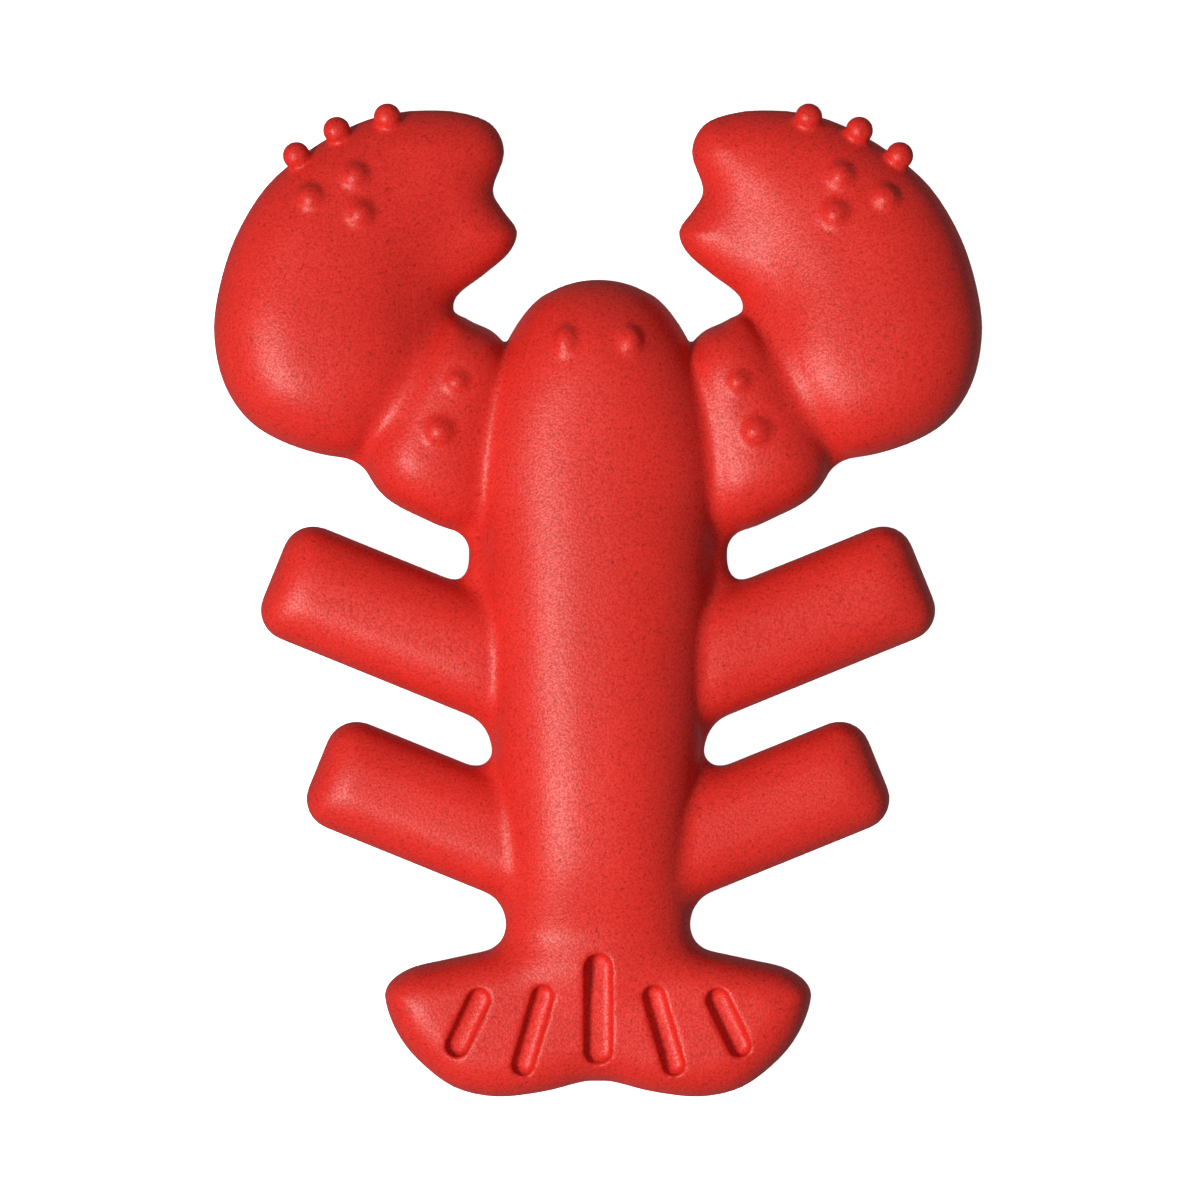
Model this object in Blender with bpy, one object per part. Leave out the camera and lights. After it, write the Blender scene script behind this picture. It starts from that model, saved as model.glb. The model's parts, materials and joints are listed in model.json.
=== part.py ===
"""Lobster-shaped seafood cracker: two hinged halves, drawn closed and lying on the flat back.

Frame: +Y runs from the tail to the claws, +Z out of the lobster's front, +X to its right-hand
side as seen from the front. The origin is on the surface the tool rests on, under its middle.
Every length below is in millimetres, and MM turns it into Blender's metres.
"""

import math

import bmesh
import bpy
from mathutils import Vector
from mathutils.bvhtree import BVHTree

MM = 0.001

# Driving dimensions.
PARTING_Z = 12.0  # height of the plane where the two halves meet
SEAM = 0.6  # gap between the halves
EASE = 0.3  # gap between a piece and the pocket it sits in
BODY_CROWN = 16.0  # greatest height of each form above the parting plane
ARM_CROWN = 10.5
CLAW_CROWN = 13.0
CLAW_TIP_CROWN = 9.0
LEG_CROWNS = (8.6, 8.0)
TAIL_CROWN = 8.5
WEB_CROWN = 6.0

# Outlines on the parting plane, right-hand side.
BODY_SIDE = [
    (5.4, 52.6),
    (10.0, 49.9),
    (13.4, 45.8),
    (16.0, 41.0),
    (18.9, 34.0),
    (20.6, 24.0),
    (21.0, 12.0),
    (20.2, 0.0),
    (18.9, -12.0),
    (17.8, -24.0),
    (16.6, -36.0),
    (15.2, -48.0),
    (13.4, -57.0),
    (7.6, -65.0),
]
BODY_ENDS = ((0.0, 53.4), (0.0, -67.5))
BODY_SPINE = [(0, 34), (0, 10), (0, -30), (0, -45), (0, -56)]
BODY_CROWNS = [BODY_CROWN, BODY_CROWN, 15.4, 13.4, 9.6]

CLAW_OUTLINE = [
    (23.4, 50.6),
    (18.9, 54.4),
    (14.6, 58.2),
    (13.5, 62.2),
    (16.3, 65.6),
    (17.2, 68.6),
    (15.7, 74.6),
    (18.0, 79.6),
    (25.0, 81.5),
    (33.4, 81.2),
    (41.0, 79.0),
    (48.2, 74.9),
    (55.2, 68.9),
    (60.4, 60.2),
    (63.2, 51.0),
    (63.7, 43.2),
    (61.9, 35.6),
    (57.8, 29.8),
    (51.4, 26.2),
    (43.0, 24.0),
    (36.6, 24.6),
    (31.2, 31.4),
    (26.6, 39.4),
    (23.0, 46.4),
]
CLAW_SPINE = [(28, 70), (37, 64), (44, 55), (47, 45), (46, 40)]
CLAW_CROWNS = [CLAW_TIP_CROWN, 10.2, 11.9, CLAW_CROWN, CLAW_CROWN]

ARM_OUTLINE = [
    (15.4, 40.4),
    (17.0, 44.2),
    (20.4, 46.2),
    (24.6, 47.4),
    (29.4, 43.0),
    (34.4, 36.0),
    (38.4, 28.0),
    (38.6, 21.6),
    (35.2, 17.2),
    (29.6, 14.2),
    (23.4, 12.0),
    (18.6, 14.0),
    (17.6, 24.0),
    (16.4, 33.0),
]
ARM_SPINE = [(22.6, 38.0), (26.4, 29.0), (28.6, 23.5)]

TAIL_SIDE = [
    (10.0, -56.6),
    (18.5, -58.4),
    (25.0, -59.9),
    (31.0, -61.4),
    (34.6, -63.7),
    (35.3, -66.6),
    (33.6, -71.6),
    (29.9, -76.4),
    (24.0, -80.9),
    (17.0, -82.5),
    (9.2, -81.7),
    (2.8, -80.1),
]
TAIL_SPINE = [(-19, -70.5), (19, -70.5)]

# Each leg: middle of its outer end, width; all lean outwards and up by the same angle.
LEGS = [((53.9, 4.7), 19.6), ((46.5, -27.3), 18.4)]
LEG_LENGTH = 46.0
LEG_LEAN = math.radians(22.1)
LEG_CORNER = 5.0
LEG_SPINE_SETBACK = 7.5

# Webs round off the inner end of each slot: corner on the upper edge, round end, corner below.
WEBS = [
    [(8, 14), (25.0, 12.6), (22.8, 10.6), (21.6, 7.3), (22.6, 4.6), (26.4, 4.2), (24, -2), (8, -2)],
    [(8, -14), (24, -17.6), (20.0, -19.6), (18.2, -21.8), (18.1, -24.2), (19.2, -26.8),
     (24.0, -26.6), (20, -33), (8, -33)],
    [(8, -44), (21, -47.7), (17.0, -49.2), (15.4, -51.8), (15.5, -54.6), (16.6, -57.2),
     (22.0, -59.6), (18, -65), (8, -65)],
]  # fmt: skip

# Raised beads: (x, y, radius). Those on the claw's rim stand out past its outline.
RIM_BEADS = [(35.0, 80.3, 2.3), (43.4, 78.1, 2.3), (50.1, 73.9, 2.3)]
RIM_BEAD_HEIGHT = 4.6
FACE_BEADS = [
    (40.2, 70.2, 2.4), (47.5, 66.5, 2.4), (39.4, 63.9, 2.5), (23.3, 36.2, 2.0), (26.2, 28.0, 2.7),
    (5.1, 42.5, 1.9),
]  # fmt: skip
BEAD_SINK = 0.5  # share of its radius that a face bead's centre lies under the surface

# Tail grooves: (start, end, width).
GROOVES = [
    ((0.0, -59.8), (0.0, -75.6), 4.7),
    ((9.1, -65.0), (12.6, -77.4), 3.7),
    ((19.6, -65.8), (23.6, -74.2), 3.8),
]
GROOVE_DEPTH = 2.2

# Steelwork.
HINGE_Y = 64.0
KNUCKLE_RADIUS = 5.0
PIN_RADIUS = 2.5
PIN_HOLE_RADIUS = 2.75
KNUCKLE_SPANS = (24.0, 29.8, 30.2, 37.8, 38.2, 44.0)  # back, front and back knuckle, along X
PLATE_RISE = 0.4  # from the parting plane to a lever's inner face
PLATE_THICKNESS = 3.2
EAR_START = 58.0
LEVER_SIDE = [
    (7.5, -53.0),
    (9.0, -51.0),
    (9.0, 12.0),
    (14.0, 17.0),
    (24.0, 23.0),
    (33.0, 31.5),
    (41.0, 42.0),
    (44.0, 49.0),
    (44.0, EAR_START),
]
LEVER_INNER_SIDE = [
    (27.0, EAR_START),
    (28.0, 50.0),
    (27.0, 44.5),
    (22.5, 37.5),
    (17.0, 33.0),
    (8.0, 31.5),
]
JAW_SIDE = [(7.5, 42.5), (11.0, 37.0), (11.0, 11.0)]
JAW_CAVITY_HALF_WIDTH = 8.7
JAW_START = 13.0
JAW_END = 42.5
JAW_HEIGHT = 8.5
TOOTH_COUNT = 10
TOOTH_DEPTH = 1.1
MOUTH_HALF_WIDTH = 8.5
MOUTH_DEPTHS = {1: 3.0, -1: 4.5}  # greatest, over the middle of the arch
MOUTH_FULLNESS = 2.5

# Fasteners and stops.
SCREW_PLACES = [
    ("tail", 0.0, -44.0),
    ("middle", 0.0, -4.0),
    ("right", 34.5, 50.0),
    ("left", -34.5, 50.0),
]
SCREW_HEAD_RADIUS = 3.0
SCREW_HEAD_HEIGHT = 1.7
SCREW_SHANK_RADIUS = 1.5
SCREW_LENGTH = 8.0
SCREW_RECESS = 0.1  # how far the head lies under the lever's face
SOCKET_RADIUS = 1.15
SOCKET_DEPTH = 1.1
INSERT_RADIUS = 2.4
INSERT_LENGTH = 4.5
BUMPER_PLACES = [("right", 20.5, -68.5), ("left", -20.5, -68.5)]
BUMPER_RADIUS = 3.0
BUMPER_HEIGHT = 4.0

FORM_RINGS = 3
OUTLINE_STEPS = 2
ROUND_SEGMENTS = 12
CUT_MARGIN = 60.0  # how far a cutting block reaches past what it cuts


def clear_scene():
    for obj in list(bpy.data.objects):
        bpy.data.objects.remove(obj, do_unlink=True)


def material(name, color, metallic, roughness):
    made = bpy.data.materials.new(name)
    made.use_nodes = True
    shader = made.node_tree.nodes["Principled BSDF"]
    shader.inputs["Base Color"].default_value = (*color, 1.0)
    shader.inputs["Metallic"].default_value = metallic
    shader.inputs["Roughness"].default_value = roughness
    return made


def add_object(name, bm, finish=None, helper=False):
    """Turns a bmesh in millimetres into an object; a helper is only a cutter or a form."""
    bmesh.ops.scale(bm, vec=(MM, MM, MM), verts=bm.verts)
    bmesh.ops.recalc_face_normals(bm, faces=bm.faces)
    mesh = bpy.data.meshes.new(name)
    bm.to_mesh(mesh)
    bm.free()
    obj = bpy.data.objects.new(name, mesh)
    bpy.context.scene.collection.objects.link(obj)
    if helper:
        obj.hide_render = True
        obj.display_type = "WIRE"
    if finish:
        mesh.materials.append(finish)
    return obj


def boolean(target, operation, operand, solver="EXACT"):
    """EXACT loses the shells, whose many cushions meet in slivers, so they take MANIFOLD."""
    cut = target.modifiers.new(operation.title(), "BOOLEAN")
    cut.operation = operation
    cut.solver = solver
    if isinstance(operand, bpy.types.Collection):
        cut.operand_type = "COLLECTION"
        cut.collection = operand
    else:
        cut.object = operand


def group(name, objects):
    """Moves helpers into a collection of their own, so that one Boolean takes them all."""
    collection = bpy.data.collections.new(name)
    bpy.context.scene.collection.children.link(collection)
    for obj in objects:
        bpy.context.scene.collection.objects.unlink(obj)
        collection.objects.link(obj)
    return collection


def mirrored(points, side):
    return [(side * x, y) for x, y in points]


def symmetric_loop(side_points, ends=()):
    """A closed outline from its right-hand points, top to bottom, and any points on the axis."""
    top = list(ends[:1])
    bottom = list(ends[1:])
    return top + list(side_points) + bottom + [(-x, y) for x, y in reversed(side_points)]


def smooth_loop(points, steps):
    """A closed Catmull-Rom curve through the points, with that many steps from each to the next."""
    count = len(points)
    loop = []
    for i in range(count):
        before, start, end, after = (Vector(points[(i + k) % count]) for k in (-1, 0, 1, 2))
        for step in range(steps):
            t = step / steps
            loop.append(
                0.5
                * (
                    2 * start
                    + (end - before) * t
                    + (2 * before - 5 * start + 4 * end - after) * t**2
                    + (3 * start - before - 3 * end + after) * t**3
                )
            )
    return [tuple(point) for point in loop]


def nearest_on_spine(point, spine, crowns):
    """The point of the spine nearest to this one, and the crown's height there."""
    best = None
    for (a, low), (b, high) in zip(zip(spine, crowns), zip(spine[1:], crowns[1:])):
        a = Vector(a)
        run = Vector(b) - a
        share = min(1.0, max(0.0, (Vector(point) - a).dot(run) / run.length_squared))
        foot = a + run * share
        distance = (Vector(point) - foot).length
        if best is None or distance < best[0]:
            best = (distance, foot, low + (high - low) * share)
    return best[1], best[2]


def cushion(name, outline, spine, crowns, fullness, rings=FORM_RINGS):
    """A closed cushion, alike above and below the parting plane, widest on that plane.

    Its surface rises from the outline to the crown over the spine along a superellipse: a
    fullness of 2 is a plain ellipse, and a larger one is flatter on top with rounder edges.
    """
    bm = bmesh.new()
    feet = [nearest_on_spine(point, spine, crowns) for point in outline]
    loops = []
    for ring in range(-rings, rings + 1):
        angle = math.radians(ring * 80.0 / rings)
        shrink = math.cos(angle) ** (2.0 / fullness)
        rise = math.copysign(abs(math.sin(angle)) ** (2.0 / fullness), ring) if ring else 0.0
        loop = []
        for point, (foot, crown) in zip(outline, feet):
            spot = foot + (Vector(point) - foot) * shrink
            loop.append(bm.verts.new((spot.x, spot.y, PARTING_Z + crown * rise)))
        loops.append(loop)
    for lower, upper in zip(loops, loops[1:]):
        for i in range(len(outline)):
            j = (i + 1) % len(outline)
            bm.faces.new((lower[i], lower[j], upper[j], upper[i]))
    caps = [bm.faces.new(loops[-1]), bm.faces.new(loops[0][::-1])]
    bmesh.ops.triangulate(bm, faces=caps)
    return add_object(name, bm, helper=True)


def leg_outline(end, width, side):
    """A bar with a square inner end, buried in the body, and two round outer corners."""
    along = Vector((math.cos(LEG_LEAN), math.sin(LEG_LEAN)))
    across = Vector((-along.y, along.x))
    root = Vector(end) - along * LEG_LENGTH
    half = width / 2
    points = [root + across * half, root - across * half]
    for corner_side in (-1, 1):
        centre = Vector(end) - along * LEG_CORNER + across * corner_side * (half - LEG_CORNER)
        for step in range(4):
            turn = math.radians(30 * step)
            if corner_side < 0:
                offset = -across * math.cos(turn) + along * math.sin(turn)
            else:
                offset = along * math.cos(turn) + across * math.sin(turn)
            points.append(centre + offset * LEG_CORNER)
    spine = [root + along * half, Vector(end) - along * LEG_SPINE_SETBACK]
    return mirrored(points, side), mirrored(spine, side)


def lobster_form():
    """The whole lobster as one solid, front and back alike, before it is cut into halves."""
    body_outline = smooth_loop(symmetric_loop(BODY_SIDE, BODY_ENDS), OUTLINE_STEPS)
    form = cushion("lobster_form", body_outline, BODY_SPINE, BODY_CROWNS, 2.1)
    tail_outline = smooth_loop(symmetric_loop(TAIL_SIDE), OUTLINE_STEPS)
    features = [cushion("tail_form", tail_outline, TAIL_SPINE, [TAIL_CROWN] * 2, 3.4)]
    for side in (1, -1):
        mark = "right" if side > 0 else "left"
        claw = mirrored(smooth_loop(CLAW_OUTLINE, OUTLINE_STEPS), side)
        arm = mirrored(smooth_loop(ARM_OUTLINE, OUTLINE_STEPS), side)
        features.append(
            cushion(f"claw_form_{mark}", claw, mirrored(CLAW_SPINE, side), CLAW_CROWNS, 2.3)
        )
        features.append(
            cushion(f"arm_form_{mark}", arm, mirrored(ARM_SPINE, side), [ARM_CROWN] * 3, 2.3)
        )
        for number, ((end, width), crown) in enumerate(zip(LEGS, LEG_CROWNS), 1):
            outline, spine = leg_outline(end, width, side)
            features.append(
                cushion(f"leg_form_{mark}_{number}", outline, spine, [crown] * 2, 2.7)
            )
        for number, points in enumerate(WEBS, 1):
            heart = mirrored([(9, points[0][1] - 4), (9, points[-1][1] + 4)], side)
            web = mirrored(points, side)
            features.append(
                cushion(f"web_form_{mark}_{number}", web, heart, [WEB_CROWN] * 2, 3.0, rings=2)
            )
    boolean(form, "UNION", group("lobster_features", features), solver="MANIFOLD")
    return form


def block(name, low, high, finish=None, helper=False):
    bm = bmesh.new()
    bmesh.ops.create_cube(bm, size=1.0)
    for vert in bm.verts:
        for axis in range(3):
            vert.co[axis] = high[axis] if vert.co[axis] > 0 else low[axis]
    return add_object(name, bm, finish, helper)


def surface_heights(form, places):
    """Height of the form's front surface over each place."""
    graph = bpy.context.evaluated_depsgraph_get()
    tree = BVHTree.FromObject(form, graph)
    heights = []
    for x, y in places:
        hit = tree.ray_cast(Vector((x, y, 100.0)) * MM, Vector((0, 0, -1)))
        heights.append(hit[0].z / MM)
    return heights


def beads(form):
    """The raised beads of both sides, as helpers to add to the front half."""
    heights = surface_heights(form, [(x, y) for x, y, _ in FACE_BEADS])
    made = []
    places = [(x, y, PARTING_Z + RIM_BEAD_HEIGHT, radius) for x, y, radius in RIM_BEADS]
    for (x, y, radius), height in zip(FACE_BEADS, heights):
        places.append((x, y, height - BEAD_SINK * radius, radius))
    for number, (x, y, z, radius) in enumerate(places, 1):
        for side in (1, -1):
            bm = bmesh.new()
            bmesh.ops.create_icosphere(bm, subdivisions=2, radius=radius)
            bmesh.ops.translate(bm, verts=bm.verts, vec=(side * x, y, z))
            made.append(add_object(f"bead_{number}_{side}", bm, helper=True))
    return made


def prism(bm, outline, low, high):
    """Extrudes a plan outline from one height to another."""
    base = [bm.verts.new((x, y, low)) for x, y in outline]
    face = bm.faces.new(base)
    top = bmesh.ops.extrude_face_region(bm, geom=[face])["geom"]
    for vert in (v for v in top if isinstance(v, bmesh.types.BMVert)):
        vert.co.z = high


def side_prism(bm, profile, low_x, high_x):
    """Extrudes a profile of (y, z) points along X."""
    base = [bm.verts.new((low_x, y, z)) for y, z in profile]
    face = bm.faces.new(base)
    far = bmesh.ops.extrude_face_region(bm, geom=[face])["geom"]
    for vert in (v for v in far if isinstance(v, bmesh.types.BMVert)):
        vert.co.x = high_x


def end_prism(bm, profile, low_y, high_y):
    """Extrudes a profile of (x, z) points along Y."""
    base = [bm.verts.new((x, low_y, z)) for x, z in profile]
    face = bm.faces.new(base)
    far = bmesh.ops.extrude_face_region(bm, geom=[face])["geom"]
    for vert in (v for v in far if isinstance(v, bmesh.types.BMVert)):
        vert.co.y = high_y


def rod(bm, radius, low_x, high_x, segments=20):
    """A round rod along X on the hinge axis."""
    ring = [
        (
            HINGE_Y + radius * math.cos(2 * math.pi * i / segments),
            PARTING_Z + radius * math.sin(2 * math.pi * i / segments),
        )
        for i in range(segments)
    ]
    side_prism(bm, ring, low_x, high_x)


def turned(bm, profile, segments=ROUND_SEGMENTS):
    """Spins a closed profile of (radius, z) points about Z; a point on the axis has radius 0."""
    rings = []
    for radius, z in profile:
        if radius == 0:
            rings.append([bm.verts.new((0, 0, z))])
            continue
        turn = 2 * math.pi / segments
        rings.append(
            [
                bm.verts.new((radius * math.cos(turn * i), radius * math.sin(turn * i), z))
                for i in range(segments)
            ]
        )
    for first, second in zip(rings, rings[1:] + rings[:1]):
        if len(first) == 1 and len(second) == 1:
            continue
        for i in range(segments):
            j = (i + 1) % segments
            corners = [first[i % len(first)], first[j % len(first)]]
            corners += [second[j % len(second)], second[i % len(second)]]
            bm.faces.new(list(dict.fromkeys(corners)))


def grooves():
    """The slots in the tail, as cutters with round ends."""
    made = []
    bottom = PARTING_Z + TAIL_CROWN - GROOVE_DEPTH
    for number, (start, end, width) in enumerate(GROOVES, 1):
        for side in (1, -1) if start[0] else (1,):
            run = (Vector(end) - Vector(start)).normalized()
            across = Vector((-run.y, run.x))
            points = []
            for centre, heading in ((Vector(end), run), (Vector(start), -run)):
                spin = across if heading == run else -across
                for step in range(-3, 4):
                    turn = math.radians(30 * step)
                    points.append(
                        centre + (heading * math.cos(turn) - spin * math.sin(turn)) * width / 2
                    )
            bm = bmesh.new()
            prism(bm, mirrored([tuple(p) for p in points], side), bottom, PARTING_Z + CUT_MARGIN)
            made.append(add_object(f"groove_cutter_{number}_{side}", bm, helper=True))
    return made


def grown(outline, amount):
    """The outline moved outwards by this amount, with mitred corners."""
    count = len(outline)
    area = sum(
        outline[i][0] * outline[(i + 1) % count][1] - outline[(i + 1) % count][0] * outline[i][1]
        for i in range(count)
    )
    way = math.copysign(1.0, area)
    moved = []
    for i in range(count):
        before, here, after = (Vector(outline[(i + k) % count]) for k in (-1, 0, 1))
        first = (here - before).normalized()
        second = (after - here).normalized()
        normal = way * (Vector((first.y, -first.x)) + Vector((second.y, -second.x)))
        scale = amount / (normal.length_squared / 2)
        moved.append(tuple(here + normal * scale))
    return moved


def lever_outline(facing):
    """The lever's plan: a stem, two arms, and the ears that carry its hinge knuckles."""
    front = facing > 0
    spans = [KNUCKLE_SPANS[2:4]] if front else [KNUCKLE_SPANS[4:6], KNUCKLE_SPANS[0:2]]
    side = list(LEVER_SIDE)
    for low, high in spans:
        if side[-1] != (high, EAR_START):
            side.append((high, EAR_START))
        side += [(high, HINGE_Y), (low, HINGE_Y)]
        side.append((low, EAR_START))
    inner = list(LEVER_INNER_SIDE)
    if inner[0][0] < side[-1][0]:
        side += inner
    else:
        side += inner[1:]
    return symmetric_loop(side[::-1])


def knuckle_spans(facing):
    return [KNUCKLE_SPANS[2:4]] if facing > 0 else [KNUCKLE_SPANS[0:2], KNUCKLE_SPANS[4:6]]


def jaw_profile(facing):
    """The jaw cavity seen from the side: a toothed arch, deepest in the middle, open in front."""
    depth_at = [(JAW_START, 0.6), (20.0, 3.2), (30.0, 5.0), (38.0, 4.8), (JAW_END + 1, 3.6)]
    profile = [(JAW_END + 1, -facing * 2.0), (JAW_START, -facing * 2.0)]
    steps = 2 * TOOTH_COUNT
    for step in range(steps + 1):
        y = JAW_START + (JAW_END + 1 - JAW_START) * step / steps
        low, high = next(
            pair for pair in zip(depth_at, depth_at[1:]) if y <= pair[1][0] + 1e-9
        )
        share = (y - low[0]) / (high[0] - low[0])
        depth = low[1] + (high[1] - low[1]) * share
        if step % 2:
            depth -= TOOTH_DEPTH
        profile.append((y, facing * (PLATE_RISE + max(depth, 0.2))))
    return [(y, PARTING_Z + z) for y, z in profile]


def lever(name, facing, finish):
    """One cast lever: plate, jaw block and knuckles in one piece, less the jaw and its holes."""
    inner = PARTING_Z + facing * PLATE_RISE
    outer = inner + facing * PLATE_THICKNESS
    bm = bmesh.new()
    prism(bm, lever_outline(facing), inner, outer)
    made = add_object(name, bm, finish)
    bm = bmesh.new()
    prism(bm, symmetric_loop(JAW_SIDE), inner, PARTING_Z + facing * JAW_HEIGHT)
    extras = [add_object(f"{name}_jaw_block", bm, helper=True)]
    for side in (1, -1):
        for low, high in knuckle_spans(facing):
            bm = bmesh.new()
            rod(bm, KNUCKLE_RADIUS, side * low, side * high)
            extras.append(add_object(f"{name}_knuckle_{side}_{low:.0f}", bm, helper=True))
    boolean(made, "UNION", group(f"{name}_extras", extras))
    cutters = []
    bm = bmesh.new()
    side_prism(bm, jaw_profile(facing), -JAW_CAVITY_HALF_WIDTH, JAW_CAVITY_HALF_WIDTH)
    cutters.append(add_object(f"{name}_jaw_cutter", bm, helper=True))
    bm = bmesh.new()
    rod(bm, PIN_HOLE_RADIUS, -CUT_MARGIN, CUT_MARGIN)
    cutters.append(add_object(f"{name}_pin_cutter", bm, helper=True))
    head = SCREW_HEAD_RADIUS + EASE
    shank = SCREW_SHANK_RADIUS + EASE
    seat = SCREW_RECESS + SCREW_HEAD_HEIGHT
    for place, x, y in SCREW_PLACES:
        bm = bmesh.new()
        rim = head + 0.2
        hole = [(0, -1), (rim, -1), (rim, -0.05), (head, 0.3), (shank, seat), (shank, 6), (0, 6)]
        turned(bm, [(radius, facing * z) for radius, z in hole])
        bmesh.ops.translate(bm, verts=bm.verts, vec=(x, y, inner))
        cutters.append(add_object(f"{name}_screw_cutter_{place}", bm, helper=True))
    boolean(made, "DIFFERENCE", group(f"{name}_cutters", cutters))
    return made


def mouth_profile(facing, start):
    """The mouth's arch in one half, closed along the height it starts from."""
    half_width, depth = MOUTH_HALF_WIDTH, MOUTH_DEPTHS[facing]
    profile = [(-half_width, start), (half_width, start)]
    for step in range(13):
        turn = math.radians(15 * step)
        across, up = math.cos(turn), math.sin(turn)
        across = math.copysign(abs(across) ** (2 / MOUTH_FULLNESS), across)
        rise = up ** (2 / MOUTH_FULLNESS) if 0 < step < 12 else 0.0
        profile.append((half_width * across, PARTING_Z + facing * depth * rise))
    return profile


def pockets(facing):
    """Cutters for everything let into the inner face of one half."""
    side_name = "front" if facing > 0 else "back"
    start = PARTING_Z - facing * 5.0
    ceiling = PARTING_Z + facing * (PLATE_RISE + PLATE_THICKNESS + EASE)
    cutters = []
    bm = bmesh.new()
    prism(bm, grown(lever_outline(facing), EASE), start, ceiling)
    cutters.append(add_object(f"{side_name}_lever_pocket", bm, helper=True))
    bm = bmesh.new()
    jaw_roof = PARTING_Z + facing * (JAW_HEIGHT + EASE)
    prism(bm, grown(symmetric_loop(JAW_SIDE), EASE), start, jaw_roof)
    cutters.append(add_object(f"{side_name}_jaw_pocket", bm, helper=True))
    bm = bmesh.new()
    end_prism(bm, mouth_profile(facing, start), JAW_END - 5, JAW_END + CUT_MARGIN / 2)
    cutters.append(add_object(f"{side_name}_mouth_cutter", bm, helper=True))
    for side in (1, -1):
        bm = bmesh.new()
        low, high = KNUCKLE_SPANS[0] - EASE, KNUCKLE_SPANS[-1] + EASE
        rod(bm, KNUCKLE_RADIUS + EASE + 0.1, side * low, side * high)
        cutters.append(add_object(f"{side_name}_knuckle_pocket_{side}", bm, helper=True))
    hole_end = PLATE_RISE + PLATE_THICKNESS + EASE + INSERT_LENGTH + EASE
    for place, x, y in SCREW_PLACES:
        bm = bmesh.new()
        radius = INSERT_RADIUS + EASE
        turned(bm, [(0, 0), (radius, 0), (radius, facing * hole_end), (0, facing * hole_end)])
        bmesh.ops.translate(bm, verts=bm.verts, vec=(x, y, PARTING_Z))
        cutters.append(add_object(f"{side_name}_insert_pocket_{place}", bm, helper=True))
    if facing < 0:
        for place, x, y in BUMPER_PLACES:
            bm = bmesh.new()
            radius = BUMPER_RADIUS + EASE
            depth = BUMPER_HEIGHT + EASE
            turned(bm, [(0, 2), (0, -depth), (radius, -depth), (radius, 2)])
            bmesh.ops.translate(bm, verts=bm.verts, vec=(x, y, PARTING_Z))
            cutters.append(add_object(f"bumper_pocket_{place}", bm, helper=True))
    return cutters


def front_shell(form, finish):
    low = (-CUT_MARGIN * 2, -CUT_MARGIN * 2, PARTING_Z + SEAM / 2)
    high = (CUT_MARGIN * 2, CUT_MARGIN * 2, PARTING_Z + CUT_MARGIN)
    shell = block("front_shell", low, high, finish)
    boolean(shell, "INTERSECT", form, solver="MANIFOLD")
    boolean(shell, "UNION", group("front_beads", beads(form)), solver="MANIFOLD")
    boolean(shell, "DIFFERENCE", group("front_cutters", grooves() + pockets(1)), solver="MANIFOLD")
    return shell


def back_shell(form, finish):
    """The back half stops at the hinge, so that the front half's claw tips can swing past it."""
    low = (-CUT_MARGIN * 2, -CUT_MARGIN * 2, 0.0)
    high = (CUT_MARGIN * 2, HINGE_Y - EASE, PARTING_Z - SEAM / 2)
    shell = block("back_shell", low, high, finish)
    boolean(shell, "INTERSECT", form, solver="MANIFOLD")
    boolean(shell, "DIFFERENCE", group("back_cutters", pockets(-1)), solver="MANIFOLD")
    return shell


def hinge_pins(finish):
    made = []
    for mark, side in (("right", 1), ("left", -1)):
        bm = bmesh.new()
        rod(bm, PIN_RADIUS, side * (KNUCKLE_SPANS[0] + EASE), side * (KNUCKLE_SPANS[-1] - EASE))
        made.append(add_object(f"hinge_pin_{mark}", bm, finish))
    return made


def turned_mesh(name, profile, finish, segments=ROUND_SEGMENTS):
    bm = bmesh.new()
    turned(bm, profile, segments)
    maker = add_object(name, bm, finish)
    mesh = maker.data
    bpy.data.objects.remove(maker)
    return mesh


def fasteners(facing, screw_mesh, insert_mesh):
    """Four countersunk screws and the brass inserts that they run into, for one half."""
    side_name = "front" if facing > 0 else "back"
    turn = 0.0 if facing > 0 else math.pi
    inner = PARTING_Z + facing * PLATE_RISE
    insert_start = inner + facing * (PLATE_THICKNESS + EASE)
    made = []
    for place, x, y in SCREW_PLACES:
        for kind, mesh, z in (
            ("screw", screw_mesh, inner + facing * SCREW_RECESS),
            ("insert", insert_mesh, insert_start),
        ):
            obj = bpy.data.objects.new(f"{side_name}_{kind}_{place}", mesh)
            obj.location = Vector((x, y, z)) * MM
            obj.rotation_euler.x = turn
            bpy.context.scene.collection.objects.link(obj)
            made.append(obj)
    return made


def bumpers(finish):
    edge = 0.8
    profile = [
        (0, -BUMPER_HEIGHT),
        (BUMPER_RADIUS, -BUMPER_HEIGHT),
        (BUMPER_RADIUS, -edge),
        (BUMPER_RADIUS - edge, 0),
        (0, 0),
    ]
    mesh = turned_mesh("bumper", profile, finish)
    made = []
    for place, x, y in BUMPER_PLACES:
        obj = bpy.data.objects.new(f"bumper_{place}", mesh)
        obj.location = Vector((x, y, PARTING_Z)) * MM
        bpy.context.scene.collection.objects.link(obj)
        made.append(obj)
    return made


def hang_on_hinge(objects):
    """Parents the front half's pieces to an empty on the hinge axis."""
    axis = bpy.data.objects.new("hinge_axis", None)
    axis.location = Vector((0, HINGE_Y, PARTING_Z)) * MM
    bpy.context.scene.collection.objects.link(axis)
    bpy.context.view_layer.update()
    for obj in objects:
        obj.parent = axis
        obj.matrix_parent_inverse = axis.matrix_world.inverted()


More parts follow.
